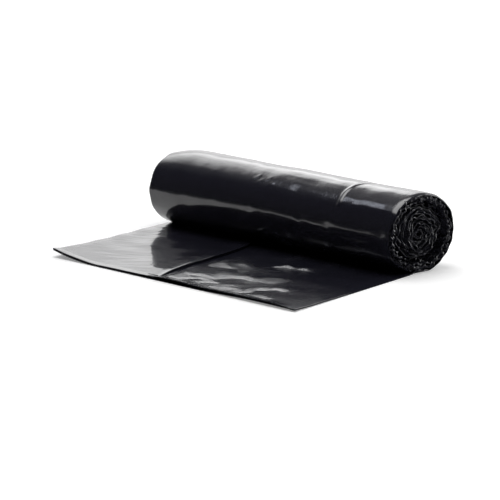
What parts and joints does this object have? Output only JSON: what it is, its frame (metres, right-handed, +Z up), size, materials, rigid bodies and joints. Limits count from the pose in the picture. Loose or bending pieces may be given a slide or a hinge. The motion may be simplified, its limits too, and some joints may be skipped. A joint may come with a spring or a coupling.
{
  "type": "bin bag roll",
  "caption": "Soft coreless roll of black glossy refuse film lying on its side, with crumpled wound ends and its lead length unrolled on the floor.",
  "frame": {"origin": "on the floor under the middle of the roll, on the flat spot it rests on", "axes": "+X along the roll's axis towards the end that leans back, -Y the way the lead is unrolled, +Z up"},
  "size_m": [0.4753, 0.3323, 0.1055],
  "materials": {
    "black_film": "glossy blown polyethylene film, finely creased"
  },
  "bodies": {
    "root": {"bag_roll": "black_film"}
  },
  "joints": []
}
